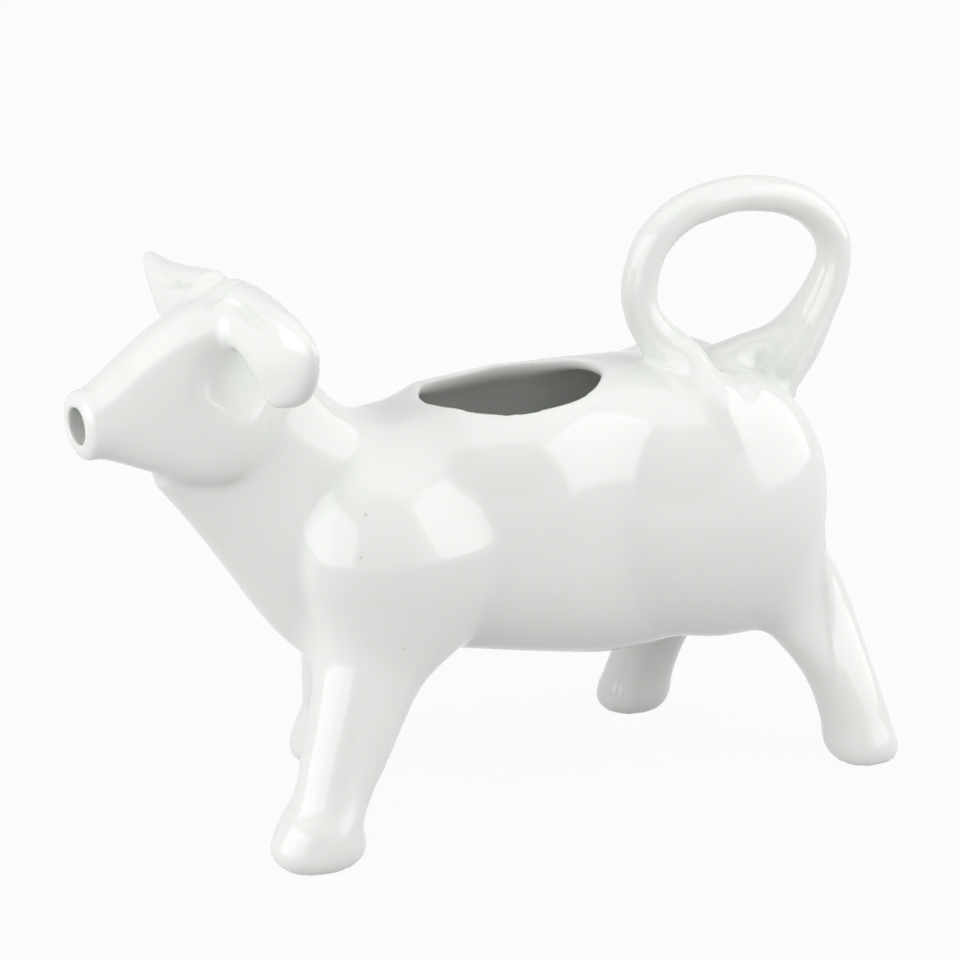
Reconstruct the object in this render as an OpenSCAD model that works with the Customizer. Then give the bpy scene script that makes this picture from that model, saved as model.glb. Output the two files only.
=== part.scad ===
// Cow creamer: a small porcelain milk jug in the form of a walking cow.
// The head looks along -X, the left flank faces -Y and the four soles stand on z = 0.

/* [Body] */
// Length of the barrel, from the brisket to the rump
body_length = 104; // [98:1:110]
// Width across the barrel
body_width = 52; // [47:1:57]
// Height of the back over the table
back_height = 87; // [83:1:91]
// Height of the belly over the table
belly_height = 26.5; // [24:0.5:29]
// How far the shoulder stands out from the barrel
shoulder_swell = 1.5; // [0.5:0.1:3]
// How far the haunch stands out from the barrel
haunch_swell = 2.5; // [0.5:0.1:4]
// Thickness of the cast wall
wall = 3; // [2.4:0.1:3.6]

/* [Filling hole] */
// Length of the oval hole in the back
hole_length = 38; // [32:1:42]
// Width of the oval hole in the back
hole_width = 27; // [22:1:30]
// Distance of the hole's middle from the brisket
hole_place = 41.2; // [38:0.2:45]

/* [Neck and head] */
// Forward reach of the poll from the brisket
poll_reach = 18; // [15:1:21]
// Height of the poll over the table
poll_height = 115.5; // [112:0.5:119]
// Width of the neck behind the jaw
neck_width = 19; // [18:0.5:23]
// Length of the head, from the poll to the lip
head_length = 34; // [31:0.5:37]
// Depth of the head at the jaw
head_depth = 36; // [34:1:38]
// Width of the head at the cheeks
head_width = 27; // [25:1:30]
// Fall of the nose line from the poll to the lip
nose_fall = 19; // [17.5:0.5:20.5]
// Width of the muzzle
muzzle_width = 14; // [12.5:0.5:16]
// Depth of the muzzle
muzzle_depth = 12; // [11:0.5:13]
// Turn of the head to its left, in degrees
head_turn = 5; // [0:1:10]
// Tilt of the head to its right, in degrees
head_tilt = 3; // [0:1:6]
// Width of the spout hole
spout_width = 6.6; // [6.2:0.2:7.2]
// Height of the spout hole
spout_height = 6; // [5.8:0.2:6.4]

/* [Ears] */
// Span over both ears
ear_span = 71; // [66:1:76]
// Height of the top of an ear over the poll
ear_rise = 1; // [0:0.5:2]
// Fall of an ear from its top to its tip
ear_fall = 21; // [18:0.5:23]
// Width of an ear across its leaf
ear_width = 14.5; // [12:0.5:16]
// Thickness of an ear
ear_thickness = 6; // [5:0.2:7]
// Depth of the fold in an ear
ear_hollow = 2; // [1:0.1:2.4]

/* [Tail handle] */
// Length of the tail loop, outside
loop_length = 53; // [48:1:57]
// Height of the top of the loop over the table
loop_height = 122; // [116:0.5:126]
// Thickness of the tail at the top of the loop
tail_thickness = 7.2; // [6:0.2:8.6]
// Width of the tail at the top of the loop
tail_width = 8; // [6.6:0.2:9.6]
// Sweep of the front root over the left hip
root_sweep = 15; // [11:1:17]

/* [Legs] */
// Distance across the hooves, middle to middle
track = 44; // [40:1:48]
// Length of a front hoof
front_hoof_length = 19; // [17:0.5:21]
// Length of a rear hoof
rear_hoof_length = 15; // [13:0.5:17]
// Width of a hoof
hoof_width = 15; // [13:0.5:17]
// Thickness of a leg above its hoof
leg_thickness = 16; // [14:0.5:17.5]
// Step of the left front hoof, behind the shoulder
front_left_step = -21; // [-25:0.5:-16]
// Step of the right front hoof, behind the shoulder
front_right_step = -1.8; // [-5:0.2:3]
// Step of the left rear hoof, behind the hip
rear_left_step = 15.4; // [12:0.2:19]
// Step of the right rear hoof, behind the hip
rear_right_step = -17.2; // [-22:0.2:-11]
// How far the right shoulder lies behind the left one
shoulder_skew = 3; // [0:0.5:5]
// Shift of both rear hooves to the left
rear_sway = 1.8; // [0:0.2:4]

/* [Udder] */
// Length of the udder
udder_length = 34; // [28:1:38]
// Width of the udder
udder_width = 24; // [18:1:28]
// How far the udder hangs below the belly
udder_drop = 0.5; // [0.5:0.5:3]

/* [Hidden] */
glaze = "whitesmoke";

// Corners round the body, round a leg, an ear or the tail, round the filling hole and round the udder
body_sides = 36;
limb_sides = 20;
hole_sides = 40;
udder_sides = 24;

// Places that the pieces share; the brisket stands so that lip and rear hoof are equally far from x = 0
hip_share = 0.93;
brisket_x = (poll_reach + head_length - hip_share * body_length - rear_left_step - rear_hoof_length / 2) / 2;
body_mid = (back_height + belly_height) / 2;
body_half = (back_height - belly_height) / 2;
hole_x = brisket_x + hole_place;
poll_x = brisket_x - poll_reach;
lip_x = poll_x - head_length;
shoulder_x = along(0.096);
hip_x = along(hip_share);

function along(share) = brisket_x + share * body_length;

// Curves
function cubic(p, t) =
    pow(1 - t, 3) * p[0] + 3 * t * pow(1 - t, 2) * p[1] + 3 * t * t * (1 - t) * p[2] + pow(t, 3) * p[3];
function through(rows, u) =
    let (last = len(rows) - 1, i = min(floor(u), last - 1), t = u - i)
    let (a = rows[max(i - 1, 0)], b = rows[i], c = rows[i + 1], d = rows[min(i + 2, last)])
    b + t / 2 * ((c - a) + t * ((2 * a - 5 * b + 4 * c - d) + t * (3 * (b - c) + d - a)));
function swept(rows, steps) = [for (k = [0:steps]) through(rows, (len(rows) - 1) * k / steps)];

// A rounded section from the top point [x, z] to the bottom point [x, z]; power 2 is an ellipse
function bent(value, power) = sign(value) * pow(abs(value), 2 / power);
function section(top, bottom, half_width, power = 2) =
    let (middle = (top + bottom) / 2, rise = (top - bottom) / 2)
    [for (k = [0:body_sides - 1])
        let (c = bent(cos(360 * k / body_sides), power), s = bent(sin(360 * k / body_sides), power))
        [middle[0] + rise[0] * s, half_width * c, middle[1] + rise[1] * s]];

// A solid with a skin through a row of equal rings
module loft(rings) {
    n = len(rings[0]);
    last = len(rings) - 1;
    quads = [for (i = [0:last - 1]) for (k = [0:n - 1])
        let (a = i * n + k, b = i * n + (k + 1) % n)
        each [[a, b, b + n], [a, b + n, a + n]]];
    caps = [[for (k = [n - 1:-1:0]) k], [for (k = [0:n - 1]) last * n + k]];
    polyhedron([for (ring = rings) each ring], concat(quads, caps), convexity = 8);
}

// Fuses its children into one faceted skin; zeros keep every size as it is
module skin() {
    resize([0, 0, 0]) children();
}

// Barrel rows from the rump forward: share of the length, rise and fall as shares of half the depth, and half
// width as a share of the width
withers_share = 0.24;
withers_rise = 0.98;
withers_fall = 0.78;
withers_half = 0.46;
barrel_rows = [
    [1.000, 0.15, 0.10, 0.06],
    [0.990, 0.45, 0.41, 0.28],
    [0.950, 0.69, 0.63, 0.39],
    [0.850, 0.88, 0.83, 0.46],
    [0.700, 0.97, 0.98, 0.455],
    [0.560, 1.00, 1.01, 0.455],
    [0.410, 1.02, 0.90, 0.455],
    [withers_share, withers_rise, withers_fall, withers_half]];
barrel_steps = 23;
barrel_power = 2.6;

// The cavity starts this many rows in from the rump
cavity_start = 2;

// Reach forward and back, bulge and half height of the swellings, and how far they sit over the middle
shoulder_share = 0.19;
shoulder_size = [19, 17, 13, 23];
shoulder_lift = 1;
haunch_share = 0.80;
haunch_size = [35, 22.3, 15, 29];
swell_steps = 13;

// The nape and throat lines of the neck, from the withers to the poll
skull_z = poll_height - head_depth;
nape = [
    [along(withers_share), body_mid + withers_rise * body_half],
    [along(0.115), body_mid + 0.80 * body_half],
    [along(-0.01), body_mid + 0.785 * body_half],
    [reach(-0.30), poll_height - 0.17 * head_depth]];
throat = [
    [along(withers_share), body_mid - withers_fall * body_half],
    [along(-0.087), body_mid - 1.13 * body_half],
    [along(-0.095), body_mid - 0.405 * body_half],
    [reach(0.485), skull_z - 0.11 * head_depth]];
neck_steps = 16;

// Step of the neck at which the body casting meets the head casting, and steps that the hollow runs past it
joint_step = 8;
run_on = 1;

// The neck closes toward this point inside the head
plug_place = [reach(0.59), 0, poll_height - 0.67 * head_depth];
plug_share = 0.4;

function neck_half(t) =
    withers_half * body_width + (neck_width / 2 - withers_half * body_width) * (3 - 2 * t) * t * t;
function neck_row(t) = [cubic(nape, t), cubic(throat, t), neck_half(t)];

// Head rows from the back of the skull to the lip: reach, top, bottom, half width, how much the cheeks lean
// in to the top, and flatness of the cheeks and of the jaw; tops and bottoms are shares of the depth below the
// poll and over the jaw, or over the nose line and over the chin
nose_z = poll_height - nose_fall;
chin_z = nose_z - muzzle_depth;
function reach(share) = poll_x - share * head_length;
function skull_row(share, top, bottom, half, lean, over, under) =
    [reach(share), poll_height - top * head_depth, skull_z + bottom * head_depth, half * head_width,
        lean, over, under];
function muzzle_row(share, top, bottom, half, lean, over, under) =
    [reach(share), nose_z + top * muzzle_depth, chin_z + bottom * muzzle_depth, half * muzzle_width,
        lean, over, under];
head_rows = [
    skull_row(-0.26, 0.167, 0.28, 0.33, 0, 2.0, 2.0),
    skull_row(-0.06, 0.017, 0.03, 0.46, 0.10, 2.3, 2.4),
    skull_row(0.14, 0.083, -0.083, 0.49, 0.26, 2.6, 3.4),
    skull_row(0.40, 0.172, -0.05, 0.41, 0.32, 2.8, 3.6),
    skull_row(0.64, 0.311, 0.045, 0.33, 0.32, 2.8, 3.4),
    muzzle_row(0.86, 0.20, -0.067, 0.53, 0.22, 2.4, 2.4),
    muzzle_row(0.96, 0.05, -0.033, 0.50, 0.06, 2.3, 2.1),
    muzzle_row(1.00, -0.05, 0.083, 0.42, 0, 2.1, 2.1)];
head_steps = 25;

// The cheeks are widest at this share of the depth and would close this far over the top; the forehead cuts
// them off like a roof with this fall to both sides and a rounded crest
cheek_share = 0.55;
cheek_lift = 8;
forehead_fall = 0.5;
forehead_crest = 3;

// The passage starts this many rows in from the back of the skull and runs out past the lip
passage_start = 3;
lip_run = 1;
spout_z = (nose_z + chin_z) / 2;

function barrel_section(row, inset) =
    let (x = along(row[0]) - inset * row[0])
    section([x, body_mid + row[1] * body_half - inset], [x, body_mid - row[2] * body_half + inset],
        row[3] * body_width - inset, barrel_power);
function neck_section(t, inset) =
    let (row = neck_row(t), out = (row[0] - row[1]) / norm(row[0] - row[1]))
    section(row[0] - inset * out, row[1] + inset * out, row[2] - inset,
        barrel_power + (2 - barrel_power) * t);
function head_section(row) =
    let (middle = row[2] + cheek_share * (row[1] - row[2]), rise = row[1] + cheek_lift * row[4] - middle)
    [for (k = [0:body_sides - 1])
        let (turn = 360 * k / body_sides, power = sin(turn) > 0 ? row[5] : row[6])
        let (c = bent(cos(turn), power), s = bent(sin(turn), power))
        let (y = row[3] * c * (1 - row[4] * max(s, 0)))
        let (roof = row[1] - forehead_fall * (norm([y, forehead_crest]) - forehead_crest))
        [row[0], y, min(middle + s * (s > 0 ? rise : middle - row[2]), roof)]];
function passage_section(row) =
    let (middle = (row[1] + row[2]) / 2)
    let (half = max((row[1] - row[2]) / 2 - wall, spout_height / 2))
    section([row[0], middle + half], [row[0], middle - half], max(row[3] - wall, spout_width / 2));

// Solids that the pieces are cut from
module barrel_form(inset, first) {
    barrel = [for (row = swept(barrel_rows, barrel_steps)) barrel_section(row, inset)];
    last = joint_step + (inset > 0 ? run_on : 0);
    neck = [for (k = [1:last]) if (inset == 0 || k != joint_step) neck_section(k / neck_steps, inset)];
    loft(concat([for (i = [first:barrel_steps]) barrel[i]], neck));
}

// A pair of egg-shaped swellings
module swell(place, size) {
    for (side = [-1, 1])
        loft([for (j = [0:swell_steps])
            let (tilt = -90 + 180 * (j + 0.3) / (swell_steps + 0.6))
            [for (k = [0:limb_sides - 1])
                let (c = cos(360 * k / limb_sides) * cos(tilt), s = sin(360 * k / limb_sides) * cos(tilt))
                let (y = side * place[1] + size[2] * sin(tilt))
                [place[0] + size[c < 0 ? 0 : 1] * c, y, place[2] + size[3] * s]]]);
}

module body_form() {
    barrel_form(0, 0);
    shoulder_y = body_width / 2 - shoulder_size[2] + shoulder_swell;
    haunch_y = body_width / 2 - haunch_size[2] + haunch_swell;
    swell([along(shoulder_share), shoulder_y, body_mid + shoulder_lift], shoulder_size);
    swell([along(haunch_share), haunch_y, body_mid], haunch_size);
}

module neck_form(inset) {
    first = joint_step - (inset > 0 ? run_on : 0);
    neck = [for (k = [first:neck_steps])
        if (inset == 0 || k != joint_step) neck_section(k / neck_steps, inset)];
    plug = [for (point = neck_section(1, inset)) plug_place + plug_share * (point - plug_place)];
    loft(concat(neck, [plug]));
}

// The head sits on the neck turned to its left and tilted to its right
module on_neck() {
    pivot = [poll_x, 0, poll_height - head_depth / 2];
    translate(pivot)
        rotate([-head_tilt, 0, head_turn])
            translate(-pivot)
                children();
}

module head_form() {
    neck_form(0);
    on_neck()
        loft([for (row = swept(head_rows, head_steps)) head_section(row)]);
}

module passage_form() {
    rows = swept(head_rows, head_steps);
    end = [lip_x - lip_run, spout_z];
    rise = [0, spout_height / 2];
    neck_form(wall);
    on_neck()
        loft(concat([for (i = [passage_start:head_steps]) passage_section(rows[i])],
            [section(end + rise, end - rise, spout_width / 2)]));
}

module body_shell() {
    color(glaze)
        skin()
            difference() {
                body_form();
                barrel_form(wall, cavity_start);
                translate([hole_x, 0, body_mid])
                    scale([hole_length / 2, hole_width / 2, body_half * 2])
                        cylinder(h = 1, r = 1, $fn = hole_sides);
            }
}

module head() {
    color(glaze)
        skin()
            difference() {
                head_form();
                passage_form();
            }
}

// Ear rows from the root to the tip: the upper and outer edge and the lower and inner edge, each as shares of
// the half span and of the fall, and the thickness and the sweep backward as shares of the thickness
ear_rows = [
    [0.155, 0.02, 0.113, 0.43, 1.00, 0],
    [0.366, 0.02, 0.225, 0.476, 1.00, 0],
    [0.58, 0.067, 0.338, 0.552, 0.96, 0],
    [0.777, 0.143, 0.423, 0.629, 0.90, 0.03],
    [0.924, 0.257, 0.473, 0.705, 0.84, 0.07],
    [0.975, 0.40, 0.501, 0.771, 0.80, 0.12],
    [0.93, 0.638, 0.53, 0.857, 0.74, 0.20],
    [0.823, 0.857, 0.558, 0.952, 0.66, 0.27],
    [0.70, 1.00, 0.608, 1.02, 0.44, 0.28]];

// The right ear is pinched to a sharper corner: change of its outer edge, row by row
pinch_rows = [[0, 0.02], [0, 0.067], [0.011, 0.086], [0.040, 0.057], [0.054, -0.048], [-0.028, -0.038],
    [-0.09, -0.019], [-0.073, 0], [0, 0]];
ear_steps = 20;

// Width across the leaf at which the rows hold as they are
usual_ear_width = 14.5;
ear_top = poll_height + ear_rise;
ear_x = reach(0.015);

// An ear's inner edge lies this far in front of its outer edge, as a share of its thickness
ear_lean = 0.6;

// First and last step of the fold in an ear, its half width at the ends and growth from step to step, and how
// far it lies from the middle toward the outer edge
fold_rows = [3, 8];
fold_width = 0.05;
fold_growth = 0.03;
fold_shift = 0.18;

function ear_sections(side) =
    swept([for (i = [0:len(ear_rows) - 1])
        ear_rows[i] + (side > 0 ? concat(pinch_rows[i], [0, 0, 0, 0]) : [0, 0, 0, 0, 0, 0])], ear_steps);

// A ring round an ear row, from the middle out to a share of the way to both edges
function ear_ring(row, side, width, depth, shift = 0) =
    let (edge = [ear_span / 2 * row[0], ear_top - ear_fall * row[1]])
    let (inner = [ear_span / 2 * row[2], ear_top - ear_fall * row[3]])
    let (across = (inner - edge) * ear_width / usual_ear_width)
    [for (k = [0:limb_sides - 1])
        let (turn = side * 360 * k / limb_sides, out = shift + width * sin(turn))
        let (place = edge + (0.5 - out) * across)
        let (x = ear_x + ear_thickness * (row[5] - ear_lean * (0.5 - out)))
        [x + depth * cos(turn), side * place[0], place[1]]];

module ear_form(side) {
    loft([for (row = ear_sections(side)) ear_ring(row, side, 0.5, row[4] * ear_thickness / 2)]);
}

// The fold is a slit that opens forward, below the upper edge of the ear
module ear_hollow_form(side) {
    rows = ear_sections(side);
    translate([-ear_thickness / 2, 0, 0])
        loft([for (i = [fold_rows[0]:fold_rows[1]])
            let (width = fold_width + fold_growth * min(i - fold_rows[0], fold_rows[1] - i))
            ear_ring((rows[i] + rows[i + 1]) / 2, side, width, ear_hollow, fold_shift)]);
}

module ear(side) {
    color(glaze)
        skin()
            difference() {
                on_neck()
                    difference() {
                        ear_form(side);
                        ear_hollow_form(side);
                    }
                head_form();
            }
}

module left_ear() ear(-1);
module right_ear() ear(1);

// The tail from its front root over the loop to its rear root: place as shares of the half length and of the
// rise over the back, side step as a share of the sweep, and thickness and width as shares
loop_x = along(0.892);
loop_half = (loop_length - tail_thickness) / 2;
loop_rise = loop_height - tail_thickness / 2 - back_height;
tail_rows = [
    [-0.52, -0.36, -1.15, 0.50, 1.45],
    [-0.60, -0.16, -0.96, 0.78, 1.35],
    [-0.70, 0.01, -0.55, 1.11, 1.20],
    [-0.88, 0.14, -0.18, 1.06, 1.15],
    [-0.99, 0.31, -0.03, 0.95, 1.05],
    [-0.99, 0.51, 0, 1, 1],
    [-0.86, 0.76, 0, 1, 1],
    [-0.53, 0.94, 0, 1, 1],
    [-0.08, 1.00, 0, 1, 1],
    [0.34, 0.96, 0, 1, 1],
    [0.71, 0.83, 0.01, 1, 1],
    [0.94, 0.61, 0.02, 1, 1],
    [0.95, 0.37, 0.03, 0.95, 1.15],
    [0.80, 0.11, 0.04, 1.17, 1.35],
    [0.62, -0.10, 0.04, 1.44, 1.60],
    [0.22, -0.40, 0.04, 1.56, 1.75]];
tail_steps = 41;

// The web runs from the rear strand down to the saddle between the roots
web_rows = [
    [0.92, 0.32, 0.084, 0.72, 0.95],
    [0.78, 0.16, 0.204, 0.72, 0.95],
    [0.52, 0.01, 0.276, 0.83, 1.00],
    [0.12, -0.07, 0.276, 1.00, 1.15],
    [-0.30, -0.14, 0.156, 1.00, 1.15],
    [-0.62, -0.30, 0.05, 0.90, 1.10]];
web_steps = 9;

function tail_place(row) = [loop_x + row[0] * loop_half, back_height + row[1] * loop_rise];

module tail_strand(stations, steps) {
    rows = swept(stations, steps);
    loft([for (i = [0:steps])
        let (here = tail_place(rows[i]))
        let (way = tail_place(rows[min(i + 1, steps)]) - tail_place(rows[max(i - 1, 0)]))
        let (out = [-way[1], way[0]] / norm(way))
        [for (k = [0:limb_sides - 1])
            let (c = rows[i][3] * tail_thickness / 2 * cos(360 * k / limb_sides))
            let (s = rows[i][4] * tail_width / 2 * sin(360 * k / limb_sides))
            [here[0] + out[0] * c, rows[i][2] * root_sweep + s, here[1] + out[1] * c]]]);
}

module tail_handle() {
    color(glaze)
        skin()
            difference() {
                union() {
                    tail_strand(tail_rows, tail_steps);
                    tail_strand(web_rows, web_steps);
                }
                body_form();
            }
}

// Legs run up into the body: how far the joint lies in from the hoof's line, and its height
joint_inset = 11.1;
joint_z = body_mid - 0.165 * body_half;
hoof_height = 8;
leg_power = 2.35;
front_steps = 17;
rear_steps = 22;

// Leg rows from the sole up: height, share of the way from the hoof to the joint, half length, half width
front_rows = [
    [0, 0, 0.79 * front_hoof_length / 2, 0.84 * hoof_width / 2],
    [0.2 * hoof_height, 0, 0.96 * front_hoof_length / 2, 0.97 * hoof_width / 2],
    [0.5 * hoof_height, 0, front_hoof_length / 2, hoof_width / 2],
    [hoof_height, 0.04, 0.90 * front_hoof_length / 2, 0.96 * hoof_width / 2],
    [1.6 * hoof_height, 0.15, leg_thickness / 2, 0.85 * leg_thickness / 2],
    [2.4 * hoof_height, 0.30, 1.10 * leg_thickness / 2, 0.88 * leg_thickness / 2],
    [1.11 * belly_height, 0.56, 1.28 * leg_thickness / 2, leg_thickness / 2],
    [1.53 * belly_height, 0.86, 1.62 * leg_thickness / 2, 1.19 * leg_thickness / 2],
    [joint_z, 1, 1.62 * leg_thickness / 2, 1.12 * leg_thickness / 2]];
rear_rows = [
    [0, 0, 0.84 * rear_hoof_length / 2, 0.84 * hoof_width / 2],
    [0.2 * hoof_height, 0.02, 0.97 * rear_hoof_length / 2, 0.96 * hoof_width / 2],
    [0.5 * hoof_height, 0.05, rear_hoof_length / 2, hoof_width / 2],
    [hoof_height, 0.10, 0.95 * rear_hoof_length / 2, 0.93 * hoof_width / 2],
    [1.9 * hoof_height, 0.20, 0.90 * leg_thickness / 2, 0.85 * leg_thickness / 2],
    [2.6 * hoof_height, 0.33, 0.98 * leg_thickness / 2, 0.88 * leg_thickness / 2],
    [1.15 * belly_height, 0.60, 1.25 * leg_thickness / 2, leg_thickness / 2],
    [1.53 * belly_height, 0.92, 1.31 * leg_thickness / 2, 1.12 * leg_thickness / 2],
    [joint_z, 1, 0.62 * leg_thickness / 2, 0.88 * leg_thickness / 2]];

module leg_form(rows, steps, joint_x, step, side, sway) {
    loft([for (row = swept(rows, steps))
        let (x = joint_x + step * (1 - row[1]))
        let (y = side * (track / 2 - joint_inset * row[1]) - sway * (1 - row[1]))
        [for (k = [limb_sides:-1:1])
            let (c = bent(cos(360 * k / limb_sides), leg_power))
            let (s = bent(sin(360 * k / limb_sides), leg_power))
            [x + row[2] * c, y + row[3] * s, row[0]]]]);
}

module leg(rows, steps, joint_x, step, side, sway = 0) {
    color(glaze)
        skin()
            difference() {
                leg_form(rows, steps, joint_x, step, side, sway);
                body_form();
                head_form();
            }
}

module front_left_leg() leg(front_rows, front_steps, shoulder_x, front_left_step, -1);
module front_right_leg() leg(front_rows, front_steps, shoulder_x + shoulder_skew, front_right_step, 1);
module rear_left_leg() leg(rear_rows, rear_steps, hip_x, rear_left_step, -1, rear_sway);
module rear_right_leg() leg(rear_rows, rear_steps, hip_x, rear_right_step, 1, rear_sway);

// The udder is cut to the belly and to the rear legs; its middle lies this far over the belly's lowest line
udder_share = 0.84;
udder_sink = 4;

module udder() {
    color(glaze)
        skin()
            difference() {
                translate([along(udder_share), 0, belly_height + udder_sink])
                    scale([udder_length / 2, udder_width / 2, udder_drop + udder_sink])
                        sphere(1, $fn = udder_sides);
                body_form();
                leg_form(rear_rows, rear_steps, hip_x, rear_left_step, -1, rear_sway);
                leg_form(rear_rows, rear_steps, hip_x, rear_right_step, 1, rear_sway);
            }
}

body_shell();
head();
left_ear();
right_ear();
tail_handle();
front_left_leg();
front_right_leg();
rear_left_leg();
rear_right_leg();
udder();
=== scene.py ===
"""Cow creamer: the looks of a small porcelain milk jug in the form of a walking cow.

The figure is worked like clay. Every casting is a field of distances on one grid, the castings are luted
together with soft fillets, the hollow is cut out, and one skin is drawn over the whole figure. The skin is
then shared out to the castings, so that their seams lie under one unbroken glaze.
"""

import math
from itertools import product
from types import SimpleNamespace

import bpy
import numpy as np
from bpy.props import FloatProperty, FloatVectorProperty, PointerProperty
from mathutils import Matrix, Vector


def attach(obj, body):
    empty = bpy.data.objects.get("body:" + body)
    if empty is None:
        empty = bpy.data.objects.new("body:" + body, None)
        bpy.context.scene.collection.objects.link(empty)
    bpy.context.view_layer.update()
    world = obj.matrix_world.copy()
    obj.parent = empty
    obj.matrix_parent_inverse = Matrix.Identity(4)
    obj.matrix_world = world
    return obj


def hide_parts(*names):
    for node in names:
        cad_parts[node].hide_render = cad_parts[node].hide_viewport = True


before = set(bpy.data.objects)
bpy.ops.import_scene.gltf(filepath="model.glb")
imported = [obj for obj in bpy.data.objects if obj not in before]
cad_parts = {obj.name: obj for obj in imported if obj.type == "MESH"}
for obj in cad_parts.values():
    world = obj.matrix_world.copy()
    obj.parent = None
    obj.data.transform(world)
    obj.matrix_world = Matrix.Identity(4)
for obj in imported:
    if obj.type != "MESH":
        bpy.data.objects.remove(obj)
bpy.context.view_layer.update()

bl_info = {
    "name": "Cow creamer",
    "version": (1, 0, 0),
    "blender": (4, 5, 0),
    "location": "View3D > Sidebar > Creamer",
    "description": "Makes a glazed porcelain cow creamer over its cast solids",
    "category": "Object",
}

# Castings in the order in which they claim shared clay: number, name and claim
BODY, HEAD, LEFT_EAR, RIGHT_EAR, TAIL, FRONT_LEFT, FRONT_RIGHT, REAR_LEFT, REAR_RIGHT, UDDER = range(1, 11)
CASTINGS = {
    BODY: ("body_shell", 0),
    HEAD: ("head", 1),
    LEFT_EAR: ("left_ear", 2),
    RIGHT_EAR: ("right_ear", 2),
    TAIL: ("tail_handle", 2),
    FRONT_LEFT: ("front_left_leg", 2),
    FRONT_RIGHT: ("front_right_leg", 2),
    REAR_LEFT: ("rear_left_leg", 2),
    REAR_RIGHT: ("rear_right_leg", 2),
    UDDER: ("udder", 3),
}

FAR = 60.0
FINE_STEP, QUICK_STEP = 0.75, 1.1

# Steps along barrel, neck and its closed end, and the neck's step at which the head casting starts
BARREL_STEPS, NECK_STEPS, PLUG_STEPS, NECK_JOINT = 70, 48, 8, 24

# Steps along head, ear and leg and between rows of the tail, and the head's step where its passage starts
HEAD_STEPS, EAR_STEPS, LEG_STEPS, STRAND_STEPS, PASSAGE_START = 63, 48, 64, 8, 9

# Fillets at the joints and inside, and the rounded rim, in millimetres
CORE_FILLET, HEAD_FILLET, EAR_FILLET, TAIL_FILLET, LEG_FILLET, UDDER_FILLET = 1.0, 1.8, 3.0, 4.0, 6.0, 4.0
WEB_FILLET, PASSAGE_FILLET, HOLE_FILLET, RIM = 3.0, 3.0, 2.0, 1.6

# Rounds of drawing the skin smooth and of evening its hollows, and pull on seams, skin and hidden joints
RELAX_ROUNDS, EVEN_ROUNDS = 8, 6
SEAM_PULL, SKIN_PULL, JOINT_PULL = 0.5, 0.4, 0.6

# Height in metres and slope under which a face of the skin is a bare sole
SOLE_HEIGHT, SOLE_SLOPE = 0.0006, -0.9

# Share of white in the floor as the camera sees it, and the white
FLOOR_WHITE = 0.94
WHITE = (1, 1, 1, 1)

# Dim gap in the world: level and rising part of its direction, soft edge in radians, and brightness
GAP_LEVEL, GAP_RISE, GAP_EDGE, GAP_DIM = 0.93, 0.37, 0.08, 0.05

# Aim of the lamps and of the camera in metres, and the sensor's width in millimetres
LAMP_AIM, CAMERA_AIM, SENSOR = (0, 0, 0.06), (0.0007, 0, 0.0657), 36


def length(name, description, millimetres):
    """A settable length, given in millimetres and kept in metres."""
    return FloatProperty(name=name, description=description, default=millimetres / 1000, unit="LENGTH")


def angle(name, description, degrees):
    """A settable angle, given in degrees."""
    return FloatProperty(name=name, description=description, default=math.radians(degrees), subtype="ANGLE")


def wattage(name, description, watts):
    """A settable power of a lamp."""
    return FloatProperty(name=name, description=description, default=watts, min=0, unit="POWER")


def tint(name, description, value):
    """A settable colour."""
    return FloatVectorProperty(name=name, description=description, default=value, subtype="COLOR", size=3,
                               min=0, max=1)


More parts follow.
